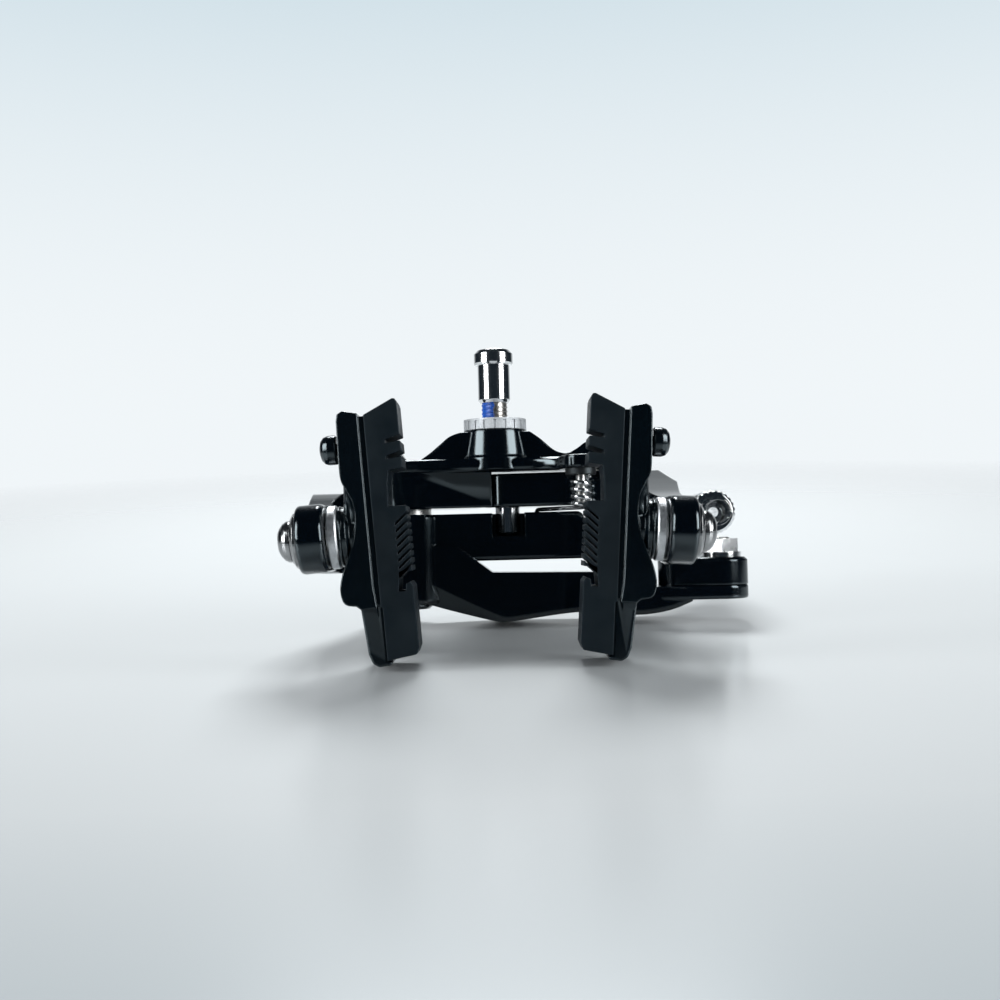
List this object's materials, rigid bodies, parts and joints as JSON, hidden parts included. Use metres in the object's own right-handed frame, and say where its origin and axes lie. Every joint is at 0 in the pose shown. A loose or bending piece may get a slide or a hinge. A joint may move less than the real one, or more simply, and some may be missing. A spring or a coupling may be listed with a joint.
{
  "type": "dual-pivot caliper brake",
  "caption": "Black dual-pivot caliper brake: two nested arms on a bracket with a central bolt, toed-in rubber pads, cable anchor with release lever and a knurled cable adjuster.",
  "frame": {"origin": "on the mounting bolt's axis, in the plane of the washer's raised rim that meets the fork or frame", "axes": "+Z along the mounting bolt towards the fork, -Y towards the rim and the pads, +X the side that the brake cable comes down"},
  "size_m": [0.1066, 0.0947, 0.0718],
  "materials": {
    "arm_black": "gloss black anodised and lacquered alloy",
    "holder_black": "satin black alloy",
    "pad_rubber": "matte black brake rubber",
    "bright_steel": "bright plated steel",
    "plain_steel": "plain machined steel",
    "pale_alloy": "pale satin alloy",
    "bush_bronze": "plain bronze",
    "seat_plastic": "matte black plastic",
    "spring_wire": "bright drawn spring wire"
  },
  "bodies": {
    "root": {"mounting_bolt": "plain_steel", "sleeve_nut": "bright_steel", "serrated_washer": "pale_alloy", "bracket": "arm_black", "left_pivot_bolt": "plain_steel", "right_pivot_bolt": "plain_steel", "left_thrust_washer": "plain_steel", "right_thrust_washer": "plain_steel", "spring_seat": "seat_plastic", "spring_post": "plain_steel", "return_spring": "spring_wire"},
    "c_arm": {"c_arm": "arm_black", "left_pivot_bush": "bush_bronze", "centring_screw": "plain_steel", "anchor_stud": "plain_steel", "clamp_washer": "bright_steel", "anchor_nut": "bright_steel"},
    "release_lever": {"release_lever": "arm_black"},
    "y_arm": {"y_arm": "arm_black", "right_pivot_bush": "bush_bronze", "link_pin": "bright_steel"},
    "adjuster_ferrule": {"adjuster_ferrule": "bright_steel"},
    "adjuster_screw": {"adjuster_screw": "bright_steel"},
    "left_pad_mount": {"left_pad_bolt": "bright_steel", "left_outer_washer": "bright_steel", "left_cup_washer": "holder_black", "left_ball_washer": "pale_alloy"},
    "right_pad_mount": {"right_pad_bolt": "bright_steel", "right_outer_washer": "bright_steel", "right_cup_washer": "holder_black", "right_ball_washer": "pale_alloy"},
    "left_pad": {"left_pad_holder": "holder_black", "left_pad_rubber": "pad_rubber", "left_pad_screw": "holder_black"},
    "right_pad": {"right_pad_holder": "holder_black", "right_pad_rubber": "pad_rubber", "right_pad_screw": "holder_black"}
  },
  "joints": [
    {"name": "c_arm_pivot", "type": "hinge", "parent": "root", "child": "c_arm", "pos_m": [-0.0225, 0, 0], "axis": [0, 0, 1], "range_deg": [0, 10], "stiffness_Nm_per_rad": 1, "springref_deg": -28.65, "deforming": ["return_spring"]},
    {"name": "y_arm_pivot", "type": "hinge", "parent": "root", "child": "y_arm", "pos_m": [0.0275, 0, 0], "axis": [0, 0, 1], "range_deg": [-10, 0]},
    {"name": "release_lever_turn", "type": "hinge", "parent": "c_arm", "child": "release_lever", "pos_m": [0.0534, -0.002, 0], "axis": [0, 0, 1], "range_deg": [0, 90]},
    {"name": "adjuster_travel", "type": "slide", "parent": "y_arm", "child": "adjuster_ferrule", "axis": [0, 1, 0], "range_m": [0, 0.004]},
    {"name": "adjuster_turn", "type": "hinge", "parent": "adjuster_ferrule", "child": "adjuster_screw", "pos_m": [0.0544, 0, -0.0236], "axis": [0, 1, 0], "range_deg": [0, 1440]},
    {"name": "left_pad_height", "type": "slide", "parent": "c_arm", "child": "left_pad_mount", "axis": [0, 1, 0], "range_m": [-0.005, 0.005]},
    {"name": "left_pad_swivel", "type": "hinge", "parent": "left_pad_mount", "child": "left_pad", "pos_m": [-0.0385, -0.044, -0.0283], "axis": [-0.9976, 0, -0.0698], "range_deg": [-10, 10]},
    {"name": "right_pad_height", "type": "slide", "parent": "y_arm", "child": "right_pad_mount", "axis": [0, 1, 0], "range_m": [-0.005, 0.005]},
    {"name": "right_pad_swivel", "type": "hinge", "parent": "right_pad_mount", "child": "right_pad", "pos_m": [0.0385, -0.044, -0.0283], "axis": [0.9976, 0, -0.0698], "range_deg": [-10, 10]}
  ],
  "couplings": [
    {"joint": "y_arm_pivot", "follows": "c_arm_pivot", "ratio": -1},
    {"joint": "adjuster_turn", "follows": "adjuster_travel", "rad_per_m": 6283.2}
  ]
}
